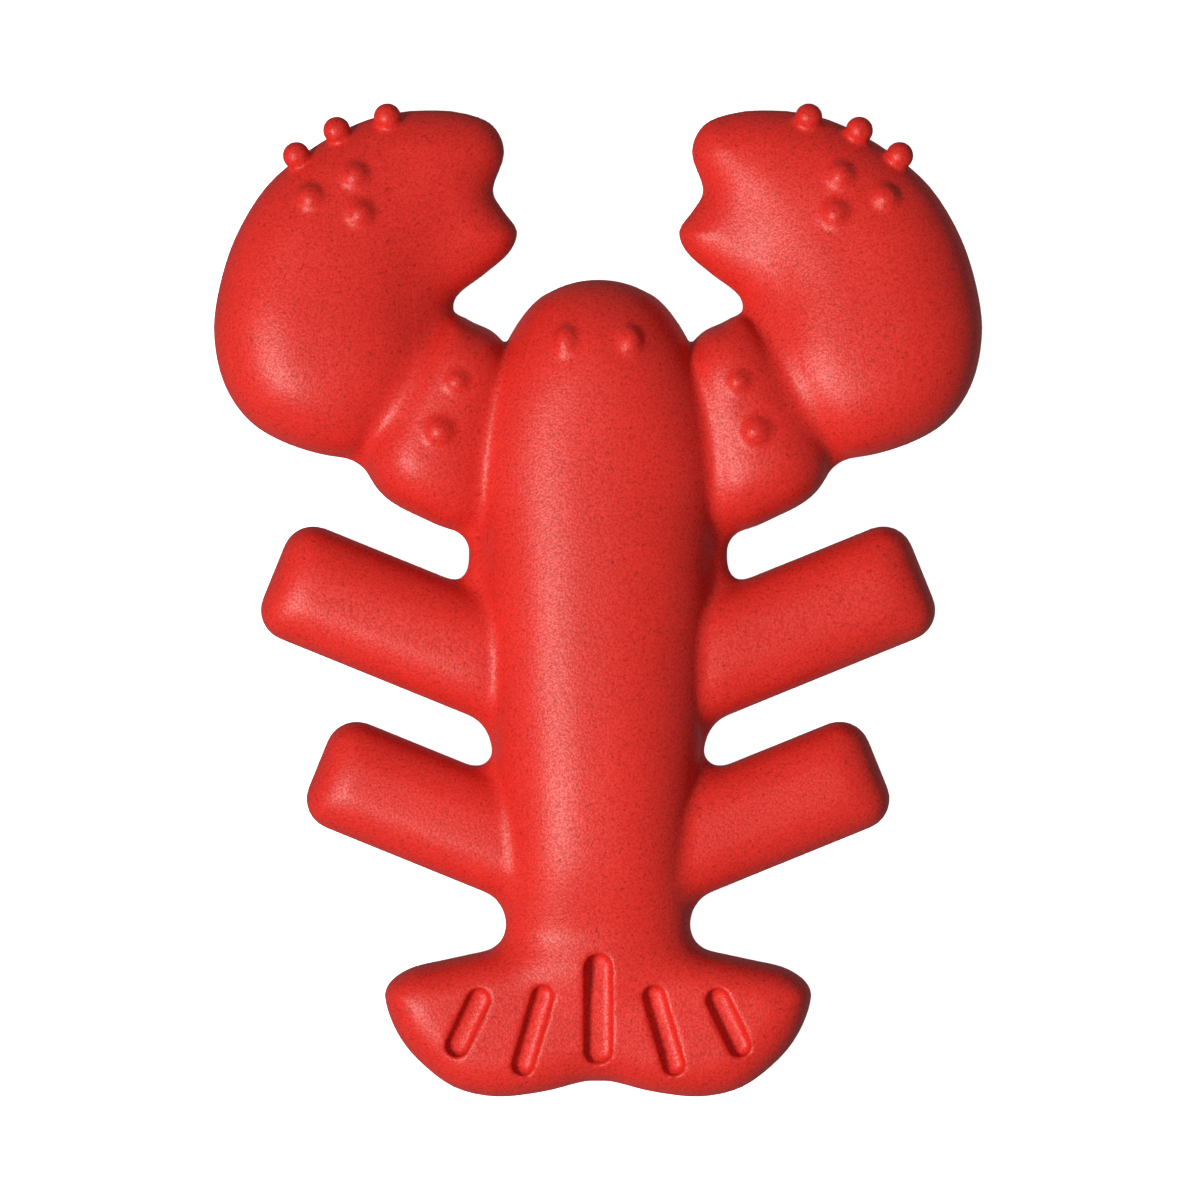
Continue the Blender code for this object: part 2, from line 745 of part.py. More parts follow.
def main():
    clear_scene()
    composite = material("red_composite", (0.62, 0.03, 0.025), 0.0, 0.62)
    steel = material("stainless_steel", (0.62, 0.61, 0.59), 1.0, 0.32)
    brass = material("brass", (0.78, 0.57, 0.25), 1.0, 0.3)
    rubber = material("black_rubber", (0.02, 0.02, 0.02), 0.0, 0.75)

    form = lobster_form()
    screw_profile = [
        (0, SOCKET_DEPTH),
        (SOCKET_RADIUS, SOCKET_DEPTH),
        (SOCKET_RADIUS, 0),
        (SCREW_HEAD_RADIUS, 0),
        (SCREW_HEAD_RADIUS, 0.3),
        (SCREW_SHANK_RADIUS, SCREW_HEAD_HEIGHT),
        (SCREW_SHANK_RADIUS, SCREW_LENGTH),
        (0, SCREW_LENGTH),
    ]
    bore = SCREW_SHANK_RADIUS + EASE
    insert_profile = [
        (bore, 0),
        (INSERT_RADIUS, 0),
        (INSERT_RADIUS, INSERT_LENGTH),
        (bore, INSERT_LENGTH),
    ]
    screw_mesh = turned_mesh("screw", screw_profile, steel)
    insert_mesh = turned_mesh("insert", insert_profile, brass)

    fasteners(-1, screw_mesh, insert_mesh)
    back_shell(form, composite)
    lever("back_lever", -1, steel)
    hinge_pins(steel)
    bumpers(rubber)
    moving = [front_shell(form, composite), lever("front_lever", 1, steel)]
    moving += fasteners(1, screw_mesh, insert_mesh)
    hang_on_hinge(moving)
    for obj in bpy.context.scene.objects:
        if obj.type == "MESH" and not obj.hide_render:
            obj.data.shade_smooth()
            obj.data.set_sharp_from_angle(angle=math.radians(40))


main()
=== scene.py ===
import json
import math

import bmesh
import bpy
import numpy as np
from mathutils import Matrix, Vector


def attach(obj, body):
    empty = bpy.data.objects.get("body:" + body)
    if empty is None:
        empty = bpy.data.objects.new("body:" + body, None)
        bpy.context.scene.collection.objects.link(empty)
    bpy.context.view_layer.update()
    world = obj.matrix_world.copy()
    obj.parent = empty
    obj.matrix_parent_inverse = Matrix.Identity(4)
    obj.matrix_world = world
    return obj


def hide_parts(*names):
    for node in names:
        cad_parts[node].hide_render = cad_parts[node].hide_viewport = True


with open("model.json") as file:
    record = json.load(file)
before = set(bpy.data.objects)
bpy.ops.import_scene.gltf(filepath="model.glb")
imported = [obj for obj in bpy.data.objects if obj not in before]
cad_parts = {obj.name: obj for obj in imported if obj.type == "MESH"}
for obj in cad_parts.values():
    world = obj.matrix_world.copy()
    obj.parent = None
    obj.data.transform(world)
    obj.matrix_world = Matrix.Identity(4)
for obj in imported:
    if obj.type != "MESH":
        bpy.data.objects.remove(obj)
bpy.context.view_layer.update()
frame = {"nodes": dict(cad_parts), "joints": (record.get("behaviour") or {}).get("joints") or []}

# Lengths here are in millimetres, with heights counted from the plane where the halves meet,
# and MM turns them into Blender's metres.
MM = 0.001
PARTING_Z = frame["joints"][0]["pos_m"][2] / MM
HINGE_Y = frame["joints"][0]["pos_m"][1] / MM
BACK_DEPTH = PARTING_Z  # from the parting plane to the flat back
HALF_SEAM = 0.3
STEP = 0.5  # spacing of the grid that the moulded forms are worked out on
OUTLINE_STEPS = 4  # points on each stretch of an outline's curve
EASE = 0.4  # clearance between the steelwork and its pockets

# ---------------------------------------------------------------- outlines and heights

# A value that changes across the form is a pair of lists: the places, and the values there.

BODY_SIDE = [
    (0.0, 53.6), (5.4, 52.7), (10.0, 50.0), (13.4, 45.9), (16.0, 41.0), (19.1, 34.0),
    (20.7, 24.0), (21.2, 12.0), (21.6, 6.0), (20.3, 0.0), (18.9, -12.0), (17.8, -24.0),
    (16.6, -36.0), (15.6, -47.0), (15.2, -54.0), (13.6, -60.0), (8.0, -65.0), (0.0, -67.0),
]  # fmt: skip
# The body's ridge stands a little inside that outline, whose rim runs out to the slots' ends.
RIDGE_INSET = (
    [-67.5, -56.0, -40.0, -12.0, 0.0, 6.0, 12.0, 22.0, 40.0],
    [0.0, 0.0, 0.3, 0.6, 1.4, 2.6, 1.6, 0.2, 0.0],
)
BODY_SPINE = [(0, 34), (0, 10), (0, -30), (0, -45), (0, -56)]
BODY_CROWNS = [16.2, 16.2, 15.6, 13.7, 9.8]
BODY_FULLNESS = 2.4

CLAW_OUTLINE = [
    (23.7, 50.5), (18.9, 54.4), (14.8, 58.0), (13.5, 61.6), (15.9, 65.1), (17.5, 68.5),
    (15.6, 74.6), (17.6, 79.2), (22.6, 81.2), (28.6, 81.6), (35.0, 80.9), (41.0, 78.9),
    (48.2, 74.8), (55.2, 68.8), (60.4, 60.2), (63.2, 51.0), (63.8, 43.6), (62.1, 36.0),
    (57.9, 29.9), (51.4, 26.1), (43.0, 24.0), (37.4, 25.4), (29.8, 29.6), (24.4, 38.2),
    (24.0, 46.0),
]  # fmt: skip
CLAW_SPINE = [(28, 71), (37, 65), (44.5, 56), (48, 46), (47.5, 39.5)]
CLAW_CROWNS = [7.6, 9.6, 11.5, 12.6, 12.6]
CLAW_FULLNESS = (1.6, 2.4)  # at its inner side, and from the crown outwards
CLAW_FULLNESS_SPAN = (22.0, 42.0)  # where it changes, along X

ARM_OUTLINE = [
    (14.4, 40.2), (17.0, 44.2), (20.4, 46.0), (24.6, 47.4), (29.4, 43.0), (34.4, 36.0),
    (38.2, 28.0), (38.3, 21.8), (35.4, 17.3), (29.8, 14.1), (23.6, 11.9), (17.4, 14.0),
    (14.2, 24.0), (13.6, 33.0),
]  # fmt: skip
ARM_SPINE = [(22.6, 38.0), (26.4, 29.0), (28.6, 23.5)]
ARM_CROWN = 11.3
ARM_FULLNESS = 2.3

TAIL_SIDE = [
    (0.0, -56.6), (10.0, -56.6), (18.5, -58.5), (25.0, -59.9), (31.0, -61.3), (34.6, -63.7),
    (35.3, -66.6), (33.4, -71.8), (29.9, -76.4), (24.0, -80.9), (17.0, -82.5), (9.2, -81.7),
    (2.8, -80.1), (0.0, -79.9),
]  # fmt: skip
TAIL_SPINE = [(0, -60), (0, -80)]
TAIL_CROWNS = [9.0, 7.8]
TAIL_RIM = 7.0
TAIL_FULLNESS = 2.4

# Each leg: middle of its outer end, width, crown. All lean outwards by the same angle.
LEGS = [((53.9, 4.7), 19.6, 8.6), ((46.5, -27.3), 18.4, 8.0)]
LEG_LENGTH = 46.0
LEG_LEAN = math.radians(22.1)
LEG_CORNER = 5.0
LEG_SPINE_SETBACK = 7.5
LEG_FULLNESS = 2.5

# Beads: x, y, radius and, on the faces, how much longer than wide. The first three stand on
# the claw's rim and break its outline.
RIM_BEADS = [(35.0, 80.3, 2.3), (43.4, 78.1, 2.3), (50.1, 73.9, 2.3)]
RIM_BEAD_HEIGHT = 4.6
FACE_BEADS = [
    (40.2, 70.2, 2.5, 1.0), (47.5, 66.5, 2.5, 1.0), (39.4, 63.9, 2.6, 1.0),
    (23.3, 36.2, 2.0, 1.0), (26.2, 28.0, 2.7, 1.0), (5.2, 42.4, 2.1, 1.35),
]  # fmt: skip
BEAD_SINK = 0.5

# Grooves in the tail: start, end, width.
GROOVES = [
    ((0.0, -60.8), (0.0, -74.6), 4.6),
    ((9.2, -65.6), (12.5, -77.0), 3.6),
    ((19.8, -66.2), (23.4, -73.8), 3.8),
]
GROOVE_DEPTH = 2.4

# How softly one form runs into the next. Those in pairs go by the depth inside the rim.
BLEND_TAIL = 5.0
BLEND_LEG = 1.8
BLEND_ARM = ([1.0, 6.0], [1.1, 2.8])
BLEND_CLAW = ([1.0, 8.0], [1.4, 4.0])
BLEND_RIM = ([1.0, 6.0], [0.8, 3.6])
BLEND_BEAD = 0.9
BLEND_SEAM = 0.7
BLEND_GROOVE_FLOOR = 1.4
BLEND_BACK = 1.6
BLEND_CLAW_END = 1.0
BLEND_MOUTH = 0.8
BLEND_POCKET = 0.4

# Fillets in plan, where one form's outline meets the next, going by Y, and the rim's height.
FILLET_TAIL = 3.8
FILLET_LEGS = ([-36.0, -28.0, -22.0, -6.0, 2.0], [3.8, 5.2, 3.8, 3.8, 4.8])
FILLET_ARM = ([15.0, 30.0], [4.6, 0.7])
FILLET_CLAW = ([30.0, 42.0], [5.5, 1.2])
RIM = 5.5

# Steelwork, as the levers' pockets need it.
KNUCKLE_SPAN = (24.0, 44.0)
KNUCKLE_RADIUS = 5.0
POCKET_DEPTH = 3.6
LEVER_PLAN = [
    (0.0, -53.0), (7.5, -53.0), (9.0, -51.0), (9.0, 12.0), (14.0, 17.0), (24.0, 23.0),
    (33.0, 31.5), (41.0, 42.0), (44.0, 49.0), (44.0, 64.0), (24.0, 64.0), (24.0, 58.0),
    (27.0, 58.0), (28.0, 50.0), (27.0, 44.5), (22.5, 37.5), (17.0, 33.0), (11.0, 31.5),
    (0.0, 31.5),
]  # fmt: skip
JAW_PLAN = [(0.0, 42.5), (7.5, 42.5), (11.0, 37.0), (11.0, 11.0), (0.0, 11.0)]
JAW_HEIGHT = 8.5
MOUTH_HALF_WIDTH = 8.5
MOUTH_DEPTH_FRONT = 3.0
MOUTH_DEPTH_BACK = 4.5
MOUTH_FULLNESS = 2.5
MOUTH_END_Y = 37.5
BUMPER_PLACE = (20.5, -68.5)
BUMPER_RADIUS = 3.0
BUMPER_HOLE_DEPTH = 4.4


# ---------------------------------------------------------------- plan geometry

def smooth_loop(points):
    """A closed Catmull-Rom curve through the points."""
    count = len(points)
    points = np.array(points, float)
    loop = []
    for i in range(count):
        before, start, end, after = (points[(i + k) % count] for k in (-1, 0, 1, 2))
        for t in np.arange(OUTLINE_STEPS) / OUTLINE_STEPS:
            bend = 2 * before - 5 * start + 4 * end - after
            twist = 3 * start - before - 3 * end + after
            loop.append(0.5 * (2 * start + (end - before) * t + bend * t**2 + twist * t**3))
    return np.array(loop)


def both_sides(side_points):
    """Closes an outline given from its top to its bottom point on the axis, on the right."""
    return list(side_points) + [(-x, y) for x, y in side_points[-2:0:-1]]


def leg_outline(end, width):
    along = np.array([math.cos(LEG_LEAN), math.sin(LEG_LEAN)])
    across = np.array([-along[1], along[0]])
    end = np.array(end)
    root = end - along * LEG_LENGTH
    half = width / 2
    points = [root + across * half, root - across * half]
    for side in (-1, 1):
        centre = end - along * LEG_CORNER + across * side * (half - LEG_CORNER)
        for turn in np.radians(np.arange(0, 91, 15)):
            spread, reach = (turn, math.pi / 2 - turn) if side < 0 else (math.pi / 2 - turn, turn)
            offset = along * math.sin(spread) + across * side * math.sin(reach)
            points.append(centre + offset * LEG_CORNER)
    spine = [root + along * half, end - along * LEG_SPINE_SETBACK]
    return np.array(points), spine


def to_segment(x, y, start, end):
    """Distance to a segment, and the share of it passed at the nearest point."""
    run_x, run_y = end[0] - start[0], end[1] - start[1]
    share = ((x - start[0]) * run_x + (y - start[1]) * run_y) / (run_x**2 + run_y**2)
    share = np.clip(share, 0.0, 1.0)
    return np.hypot(x - start[0] - share * run_x, y - start[1] - share * run_y), share


def inside_distance(x, y, outline):
    """Distance to a closed outline, positive inside it."""
    nearest = np.full(x.shape, np.inf)
    inside = np.zeros(x.shape, bool)
    for start, end in zip(outline, np.roll(outline, -1, axis=0)):
        nearest = np.minimum(nearest, to_segment(x, y, start, end)[0])
        crosses = (start[1] > y) != (end[1] > y)
        rise = end[1] - start[1] if end[1] != start[1] else 1.0
        inside ^= crosses & (x < start[0] + (y - start[1]) / rise * (end[0] - start[0]))
    return np.where(inside, nearest, -nearest)


def smooth_share(values, start, end):
    """The share of the way from start to end, easing in and out."""
    share = np.clip((values - start) / (end - start), 0.0, 1.0)
    return share * share * (3 - 2 * share)


def blurred(values, spread):
    """A Gaussian blur of a plan grid; spread is in millimetres."""
    reach = int(3 * spread / STEP)
    kernel = np.exp(-0.5 * (np.arange(-reach, reach + 1) * STEP / spread) ** 2)
    kernel /= kernel.sum()
    for axis in (0, 1):
        padded = np.pad(values, [(reach, reach) if a == axis else (0, 0) for a in (0, 1)], "edge")
        size = values.shape[axis]
        values = sum(
            weight * np.take(padded, range(k, k + size), axis) for k, weight in enumerate(kernel)
        )
    return values


# ---------------------------------------------------------------- forms as fields

X = np.arange(0.0, 67.5, STEP)
Y = np.arange(-85.5, 86.0, STEP)
Z = np.arange(-1.5, 18.5, STEP)
PLAN_X, PLAN_Y = np.meshgrid(X, Y, indexing="ij")
GRID_Z = Z[None, None, :]


def as_distance(level):
    """Turns a field that is zero on a surface into one that is roughly the distance from it."""
    slope = np.sqrt(sum(g**2 for g in np.gradient(level, STEP)))
    return np.clip(level / np.maximum(slope, 0.02), -8.0, 8.0)


def cushion(outline, spine, crowns, fullness, rim=None):
    """Distance field of a cushion: it rises from its outline to a crown over its spine.

    Its section is a superellipse. A fullness of 2 is a plain ellipse, and more is flatter.
    With a rim, it is full height from that far inside the outline.
    """
    depth = inside_distance(PLAN_X, PLAN_Y, outline)
    reach = np.full(PLAN_X.shape, np.inf)
    crown = np.zeros(PLAN_X.shape)
    for start, end, low, high in zip(spine, spine[1:], crowns, crowns[1:]):
        distance, share = to_segment(PLAN_X, PLAN_Y, start, end)
        crown = np.where(distance < reach, low + (high - low) * share, crown)
        reach = np.minimum(reach, distance)
    ratio = reach / np.maximum(reach + depth, 0.5) if rim is None else 1 - depth / rim
    # Away from the rim, creases between the outline's stretches are smoothed out.
    weight = smooth_share(depth, 1.0, 5.0)
    ratio = np.clip(ratio, 0, 2)
    ratio = (ratio * (1 - weight) + blurred(ratio, 1.8) * weight)[:, :, None]
    crown = blurred(crown, 3.0)[:, :, None]
    level = (ratio**fullness + (np.abs(GRID_Z) / crown) ** fullness) ** (1 / fullness) - 1
    return as_distance(level)


def rim_field(side):
    """A slab with a round rim, from the signed distance of its outline in plan."""
    inset = np.maximum(RIM + side, 0.0)[:, :, None]
    return np.hypot(inset, GRID_Z) - RIM


def filleted(first, second, radius):
    """Union of two signed distances in plan, with an arc of this radius between them."""
    corner = np.hypot(np.maximum(radius - first, 0), np.maximum(radius - second, 0))
    return np.maximum(radius, np.minimum(first, second)) - corner


def join(first, second, softness):
    """Union of two fields with a fillet; cut() is the matching difference."""
    overlap = np.clip(1 - np.abs(first - second) / softness, 0, 1)
    return np.minimum(first, second) - overlap**2 * softness / 4


def cut(field, tool, softness):
    return -join(-field, tool, softness)


def disc_prism(x, y, radius, depth):
    side = np.hypot(PLAN_X - x, PLAN_Y - y) - radius
    return np.maximum(side[:, :, None], GRID_Z - depth)


def lobster_field():
    """Half of the lobster, right of its axis, alike above and below the parting plane."""
    body = smooth_loop(both_sides(BODY_SIDE))
    tail = smooth_loop(both_sides(TAIL_SIDE))
    arm = smooth_loop(ARM_OUTLINE)
    claw = smooth_loop(CLAW_OUTLINE)
    body_side, tail_side, arm_side, claw_side = (
        -inside_distance(PLAN_X, PLAN_Y, outline) for outline in (body, tail, arm, claw)
    )
    side = filleted(body_side, tail_side, FILLET_TAIL)
    inset = np.interp(body[:, 1:], *RIDGE_INSET)
    ridge = body - np.sign(body[:, :1]) * [[1, 0]] * inset
    field = cushion(ridge, BODY_SPINE, BODY_CROWNS, BODY_FULLNESS)
    tail_field = cushion(tail, TAIL_SPINE, TAIL_CROWNS, TAIL_FULLNESS, rim=TAIL_RIM)
    field = join(field, tail_field, BLEND_TAIL)
    for end, width, crown in LEGS:
        outline, spine = leg_outline(end, width)
        leg_side = -inside_distance(PLAN_X, PLAN_Y, outline)
        side = filleted(side, leg_side, np.interp(PLAN_Y, *FILLET_LEGS))
        field = join(field, cushion(outline, spine, [crown] * 2, LEG_FULLNESS), BLEND_LEG)
    side = filleted(side, arm_side, np.interp(PLAN_Y, *FILLET_ARM))
    side = filleted(side, claw_side, np.interp(PLAN_Y, *FILLET_CLAW))
    arm_field = cushion(arm, ARM_SPINE, [ARM_CROWN] * 3, ARM_FULLNESS)
    field = join(field, arm_field, np.interp(-side, *BLEND_ARM)[:, :, None])
    low, high = CLAW_FULLNESS
    fullness = low + (high - low) * smooth_share(PLAN_X, *CLAW_FULLNESS_SPAN)
    claw_field = cushion(claw, CLAW_SPINE, CLAW_CROWNS, fullness[:, :, None])
    field = join(field, claw_field, np.interp(-side, *BLEND_CLAW)[:, :, None])
    return join(field, rim_field(side), np.interp(-side, *BLEND_RIM)[:, :, None])


def surface_height(field, x, y):
    column = field[int(round((x - X[0]) / STEP)), int(round((y - Y[0]) / STEP))]
    last = int(np.flatnonzero(column < 0).max())
    return Z[last] + STEP * column[last] / (column[last] - column[last + 1])


def add_beads(field):
    places = [(x, y, RIM_BEAD_HEIGHT, radius, 1.0) for x, y, radius in RIM_BEADS]
    for x, y, radius, stretch in FACE_BEADS:
        places.append((x, y, surface_height(field, x, y) - BEAD_SINK * radius, radius, stretch))
    for x, y, z, radius, stretch in places:
        flat = (PLAN_X - x) ** 2 + ((PLAN_Y - y) / stretch) ** 2
        bead = np.sqrt(flat[:, :, None] + (GRID_Z - z) ** 2) - radius
        field = join(field, bead, BLEND_BEAD)
    return field


def cut_grooves(field):
    share = (PLAN_Y - TAIL_SPINE[0][1]) / (TAIL_SPINE[1][1] - TAIL_SPINE[0][1])
    floor = (TAIL_CROWNS[0] + (TAIL_CROWNS[1] - TAIL_CROWNS[0]) * share - GROOVE_DEPTH)[:, :, None]
    for start, end, width in GROOVES:
        side = to_segment(PLAN_X, PLAN_Y, start, end)[0][:, :, None] - width / 2
        groove = cut(side + 0 * GRID_Z, GRID_Z - floor, BLEND_GROOVE_FLOOR)
        field = cut(field, groove, BLEND_POCKET)
    return field


def cut_pockets(field, mouth_depth):
    """Lets the lever, its jaw and its knuckles into a half, and opens the mouth."""
    lever = -inside_distance(PLAN_X, PLAN_Y, np.array(both_sides(LEVER_PLAN))) - EASE
    jaw = -inside_distance(PLAN_X, PLAN_Y, np.array(both_sides(JAW_PLAN))) - EASE
    for side, depth in ((lever, POCKET_DEPTH + EASE), (jaw, JAW_HEIGHT + EASE)):
        field = cut(field, np.maximum(side[:, :, None], GRID_Z - depth), BLEND_POCKET)
    across = (PLAN_X / MOUTH_HALF_WIDTH)[:, :, None] ** MOUTH_FULLNESS
    up = (np.maximum(GRID_Z, 0) / mouth_depth) ** MOUTH_FULLNESS
    arch = as_distance((across + up) ** (1 / MOUTH_FULLNESS) - 1)
    field = cut(field, np.maximum(arch, (MOUTH_END_Y - PLAN_Y)[:, :, None]), BLEND_MOUTH)
    barrel = np.sqrt((PLAN_Y - HINGE_Y)[:, :, None] ** 2 + GRID_Z**2) - KNUCKLE_RADIUS - EASE
    ends = np.maximum(KNUCKLE_SPAN[0] - EASE - PLAN_X, PLAN_X - KNUCKLE_SPAN[1] - EASE)
    return cut(field, np.maximum(barrel, ends[:, :, None]), BLEND_POCKET)


def front_field():
    field = cut_grooves(add_beads(lobster_field()))
    field = cut(field, GRID_Z - HALF_SEAM + 0 * field, BLEND_SEAM)
    return cut_pockets(field, MOUTH_DEPTH_FRONT)


def back_field():
    field = lobster_field()
    field = cut(field, GRID_Z - HALF_SEAM + 0 * field, BLEND_SEAM)
    field = cut(field, BACK_DEPTH - GRID_Z + 0 * field, BLEND_BACK)
    field = cut(field, (HINGE_Y - HALF_SEAM - PLAN_Y)[:, :, None] + 0 * GRID_Z, BLEND_CLAW_END)
    field = cut_pockets(field, MOUTH_DEPTH_BACK)
    hole = disc_prism(*BUMPER_PLACE, BUMPER_RADIUS + EASE, BUMPER_HOLE_DEPTH)
    return cut(field, hole, BLEND_POCKET)


# ---------------------------------------------------------------- fields to meshes

def sampled(values, points, low):
    """Trilinear samples of a grid at points given in millimetres."""
    spot = (points - low) / STEP
    base = np.clip(np.floor(spot).astype(int), 0, np.array(values.shape[:3]) - 2)
    part = spot - base
    total = 0.0
    for corner in np.ndindex(2, 2, 2):
        weight = np.prod(np.where(np.array(corner), part, 1 - part), axis=1)
        index = tuple((base + corner).T)
        value = values[index]
        total = total + (value * weight if value.ndim == 1 else value * weight[:, None])
    return total


def surface_net(field, low):
    """The field's zero surface as quads: one vertex in each grid cell that it passes through."""
    cells = np.array(field.shape) - 1
    total = np.zeros((int(np.prod(cells)), 3))
    count = np.zeros(int(np.prod(cells)), int)
    quads = []
    for axis in range(3):
        side, up = (axis + 1) % 3, (axis + 2) % 3
        start = np.take(field, range(field.shape[axis] - 1), axis)
        end = np.take(field, range(1, field.shape[axis]), axis)
        where = np.argwhere((start < 0) != (end < 0))
        whole = (where[:, side] > 0) & (where[:, side] < cells[side])
        whole &= (where[:, up] > 0) & (where[:, up] < cells[up])
        where = where[whole]
        first, second = start[tuple(where.T)], end[tuple(where.T)]
        crossing = where.astype(float)
        crossing[:, axis] += first / (first - second)
        ring = []
        for back_side, back_up in ((1, 1), (0, 1), (0, 0), (1, 0)):
            cell = where.copy()
            cell[:, side] -= back_side
            cell[:, up] -= back_up
            index = np.ravel_multi_index(cell.T, cells)
            for k in range(3):
                total[:, k] += np.bincount(index, crossing[:, k], len(total))
            count += np.bincount(index, minlength=len(count))
            ring.append(index)
        ring = np.stack(ring, axis=1)
        quads.append(np.where((first < 0)[:, None], ring, ring[:, ::-1]))
    quads = np.concatenate(quads)
    used, quads = np.unique(quads, return_inverse=True)
    points = low + STEP * total[used] / count[used][:, None]
    slope = np.stack(np.gradient(field, STEP), axis=-1)
    for _ in range(3):
        level = sampled(field, points, low)
        way = sampled(slope, points, low)
        length = np.maximum((way**2).sum(1), 0.05)
        points = points - way * np.clip(level / length, -0.3 * STEP, 0.3 * STEP)[:, None]
    return points, quads.reshape(-1, 4)


def moulded(name, half_field, facing, material):
    """Mirrors a half field about X = 0, nets it, and stands it on its side of the parting plane."""
    field = np.concatenate([half_field[:0:-1], half_field])
    low = np.array([-X[-1], Y[0], Z[0]])
    points, quads = surface_net(field, low)
    points[:, 2] = PARTING_Z + facing * points[:, 2]
    if facing < 0:
        quads = quads[:, ::-1]
    mesh = bpy.data.meshes.new(name)
    mesh.from_pydata((points * MM).tolist(), [], quads.tolist())
    mesh.validate()
    mesh.shade_smooth()
    mesh.materials.append(material)
    obj = bpy.data.objects.new(name, mesh)
    bpy.context.scene.collection.objects.link(obj)
    return obj


# ---------------------------------------------------------------- materials

def new_material(name):
    made = bpy.data.materials.new(name)
    made.use_nodes = True
    return made, made.node_tree.nodes, made.node_tree.links


def node(nodes, kind, **inputs):
    made = nodes.new(kind)
    for key, value in inputs.items():
        made.inputs[key.replace("_", " ")].default_value = value
    return made


def noise(nodes, links, place, **inputs):
    made = node(nodes, "ShaderNodeTexNoise", **inputs)
    links.new(place, made.inputs["Vector"])
    return made.outputs["Fac"]


def ramp(nodes, links, source, start, end):
    """Colours a value; start and end are each a position and a colour."""
    made = nodes.new("ShaderNodeValToRGB")
    for stop, (position, colour) in zip(made.color_ramp.elements, (start, end)):
        stop.position = position
        stop.color = (*colour, 1.0)
    links.new(source, made.inputs["Fac"])
    return made.outputs["Color"]


def multiplied(nodes, links, first, second):
    made = nodes.new("ShaderNodeMix")
    made.data_type = "RGBA"
    made.blend_type = "MULTIPLY"
    made.inputs[0].default_value = 1.0
    links.new(first, made.inputs[6])
    links.new(second, made.inputs[7])
    return made.outputs[2]


def roughened(nodes, links, shader, grain, strength, distance):
    """Lets a grain stand out of the surface."""
    bump = node(nodes, "ShaderNodeBump", Strength=strength, Distance=distance)
    links.new(grain, bump.inputs["Height"])
    links.new(bump.outputs["Normal"], shader.inputs["Normal"])


def red_composite():
    """Moulded composite: saturated red with a fine, irregular dark grain."""
    made, nodes, links = new_material("red_composite")
    shader = nodes["Principled BSDF"]
    place = nodes.new("ShaderNodeTexCoord").outputs["Object"]
    cloud = noise(nodes, links, place, Scale=55.0, Detail=3.0, Roughness=0.6)
    grain = noise(nodes, links, place, Scale=2600.0, Detail=1.0, Roughness=0.6)
    specks = noise(nodes, links, place, Scale=1500.0, Detail=2.0, Roughness=0.75)
    base = ramp(nodes, links, cloud, (0.3, (0.68, 0.024, 0.017)), (0.7, (0.76, 0.028, 0.020)))
    grained = ramp(nodes, links, grain, (0.36, (0.86, 0.8, 0.8)), (0.62, (1.03, 1.06, 1.06)))
    specked = ramp(nodes, links, specks, (0.33, (0.68, 0.62, 0.62)), (0.42, (1, 1, 1)))
    colour = multiplied(nodes, links, base, grained)
    colour = multiplied(nodes, links, colour, specked)
    links.new(colour, shader.inputs["Base Color"])
    shader.inputs["Roughness"].default_value = 0.44
    gloss = ramp(nodes, links, grain, (0.34, (0.18,) * 3), (0.66, (0.44,) * 3))
    links.new(gloss, shader.inputs["Specular IOR Level"])
    roughened(nodes, links, shader, grain, 0.24, 0.0002)
    return made


def metal(name, colour, roughness, scale, streak):
    """Cast or turned metal: slightly uneven roughness over a fine grain."""
    made, nodes, links = new_material(name)
    shader = nodes["Principled BSDF"]
    shader.inputs["Metallic"].default_value = 1.0
    place = nodes.new("ShaderNodeTexCoord").outputs["Object"]
    stretch = node(nodes, "ShaderNodeMapping", Scale=streak)
    links.new(place, stretch.inputs["Vector"])
    grain = noise(nodes, links, stretch.outputs["Vector"], Scale=scale, Detail=4.0, Roughness=0.65)
    dull = tuple(c * 0.82 for c in colour)
    tint = ramp(nodes, links, grain, (0.35, dull), (0.65, colour))
    links.new(tint, shader.inputs["Base Color"])
    low, high = roughness
    rough = ramp(nodes, links, grain, (0.3, (low,) * 3), (0.7, (high,) * 3))
    links.new(rough, shader.inputs["Roughness"])
    roughened(nodes, links, shader, grain, 0.2, 0.0001)
    return made


def rubber():
    made, nodes, links = new_material("black_rubber")
    shader = nodes["Principled BSDF"]
    place = nodes.new("ShaderNodeTexCoord").outputs["Object"]
    grain = noise(nodes, links, place, Scale=3000.0, Detail=2.0)
    tint = ramp(nodes, links, grain, (0.4, (0.014, 0.014, 0.015)), (0.7, (0.03, 0.03, 0.032)))
    links.new(tint, shader.inputs["Base Color"])
    shader.inputs["Roughness"].default_value = 0.72
    return made


def floor_material():
    """Near-white from above and clear from below, so that the tool's back can be seen."""
    made, nodes, links = new_material("studio_floor")
    shader = nodes["Principled BSDF"]
    shader.inputs["Base Color"].default_value = (0.9, 0.9, 0.9, 1)
    shader.inputs["Roughness"].default_value = 0.9
    shader.inputs["Emission Color"].default_value = (1, 1, 1, 1)
    shader.inputs["Emission Strength"].default_value = 1.0
    clear = nodes.new("ShaderNodeBsdfTransparent")
    choose = nodes.new("ShaderNodeMixShader")
    links.new(nodes.new("ShaderNodeNewGeometry").outputs["Backfacing"], choose.inputs[0])
    links.new(shader.outputs["BSDF"], choose.inputs[1])
    links.new(clear.outputs["BSDF"], choose.inputs[2])
    links.new(choose.outputs["Shader"], nodes["Material Output"].inputs["Surface"])
    return made


# ---------------------------------------------------------------- the visible model

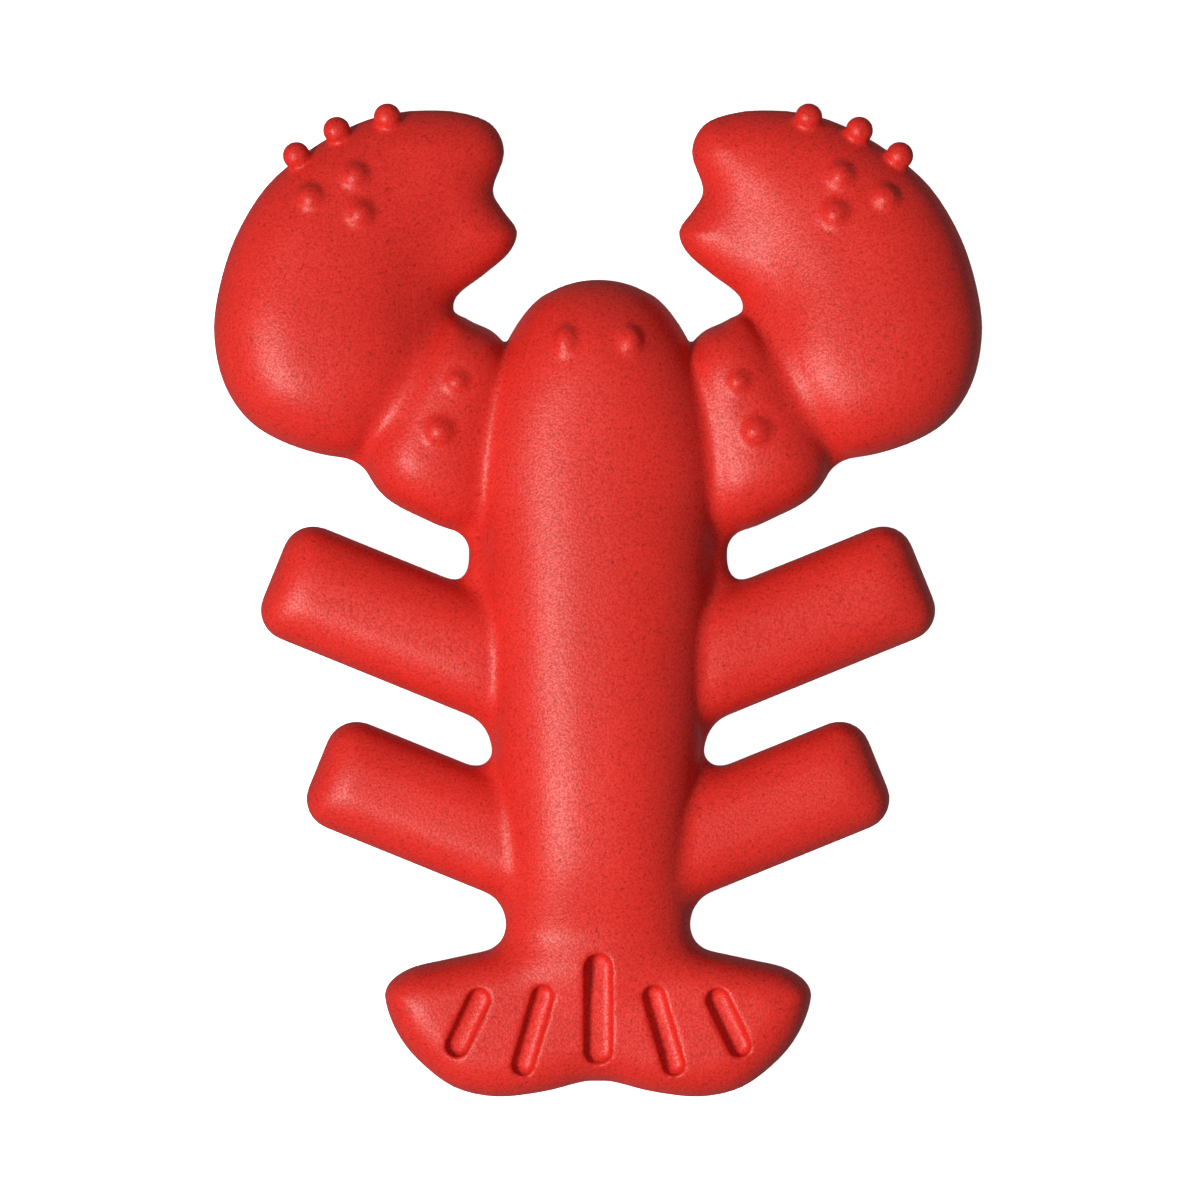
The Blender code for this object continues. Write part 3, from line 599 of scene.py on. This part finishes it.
composite = red_composite()
cast_steel = metal("cast_stainless", (0.66, 0.65, 0.63), (0.28, 0.42), 900.0, (1, 1, 1))
turned_steel = metal("turned_stainless", (0.72, 0.71, 0.70), (0.2, 0.3), 1500.0, (1, 1, 4))
turned_brass = metal("turned_brass", (0.80, 0.60, 0.28), (0.24, 0.34), 1500.0, (1, 1, 4))
black_rubber = rubber()

front = moulded("front_shell_moulding", front_field(), 1, composite)
back = moulded("back_shell_moulding", back_field(), -1, composite)
for shell, body, cad_node in (
    (front, "front_half", "front_shell"),
    (back, "back_half", "back_shell"),
):
    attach(shell, body)
    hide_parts(cad_node)

FINISHES = {"lever": cast_steel, "screw": turned_steel, "pin": turned_steel}
FINISHES |= {"insert": turned_brass, "bumper": black_rubber}
for name, obj in frame["nodes"].items():
    if name.endswith("_shell"):
        continue
    finish = next(made for word, made in FINISHES.items() if word in name)
    obj.data.materials.clear()
    obj.data.materials.append(finish)
    obj.data.shade_smooth()
    obj.data.set_sharp_from_angle(angle=math.radians(35))
    if "lever" in name:
        bevel = obj.modifiers.new("soft edges", "BEVEL")
        bevel.width = 0.3 * MM
        bevel.segments = 2
        bevel.limit_method = "ANGLE"
        bevel.angle_limit = math.radians(50)


# ---------------------------------------------------------------- studio

def area_light(name, place, size, power, color=(1, 1, 1)):
    lamp = bpy.data.lights.new(name, "AREA")
    lamp.shape = "DISK"
    lamp.size = size
    lamp.energy = power
    lamp.color = color
    obj = bpy.data.objects.new(name, lamp)
    bpy.context.scene.collection.objects.link(obj)
    obj.location = place
    obj.rotation_euler = (Vector((0, 0, 0.01)) - Vector(place)).to_track_quat("-Z", "Y").to_euler()


def studio():
    scene = bpy.context.scene
    scene.view_settings.view_transform = "Standard"
    area_light("key", (-1.2, -0.52, 2.13), 0.6, 64.0, (1.0, 0.97, 0.9))
    world = bpy.data.worlds.new("studio")
    scene.world = world
    world.use_nodes = True
    world.node_tree.nodes["Background"].inputs["Color"].default_value = (1, 1, 1, 1)
    world.node_tree.nodes["Background"].inputs["Strength"].default_value = 0.2
    bm = bmesh.new()
    bmesh.ops.create_grid(bm, x_segments=1, y_segments=1, size=3.0)
    mesh = bpy.data.meshes.new("floor")
    bm.to_mesh(mesh)
    bm.free()
    mesh.materials.append(floor_material())
    floor = bpy.data.objects.new("floor", mesh)
    scene.collection.objects.link(floor)
    floor.location.z = -0.0002
    floor.visible_diffuse = False
    floor.visible_glossy = False


def camera():
    """Straight down on the front of the tool, with its tail towards the bottom of the picture."""
    middle_x, middle_y = 0.00033, 0.00008
    distance = 1.4
    field_width = 0.2
    made = bpy.data.cameras.new("camera")
    made.sensor_width = 36.0
    made.lens = made.sensor_width * distance / field_width
    made.clip_end = 10.0
    obj = bpy.data.objects.new("camera", made)
    bpy.context.scene.collection.objects.link(obj)
    obj.location = (middle_x, middle_y, PARTING_Z * MM + distance)
    bpy.context.scene.camera = obj


studio()
camera()
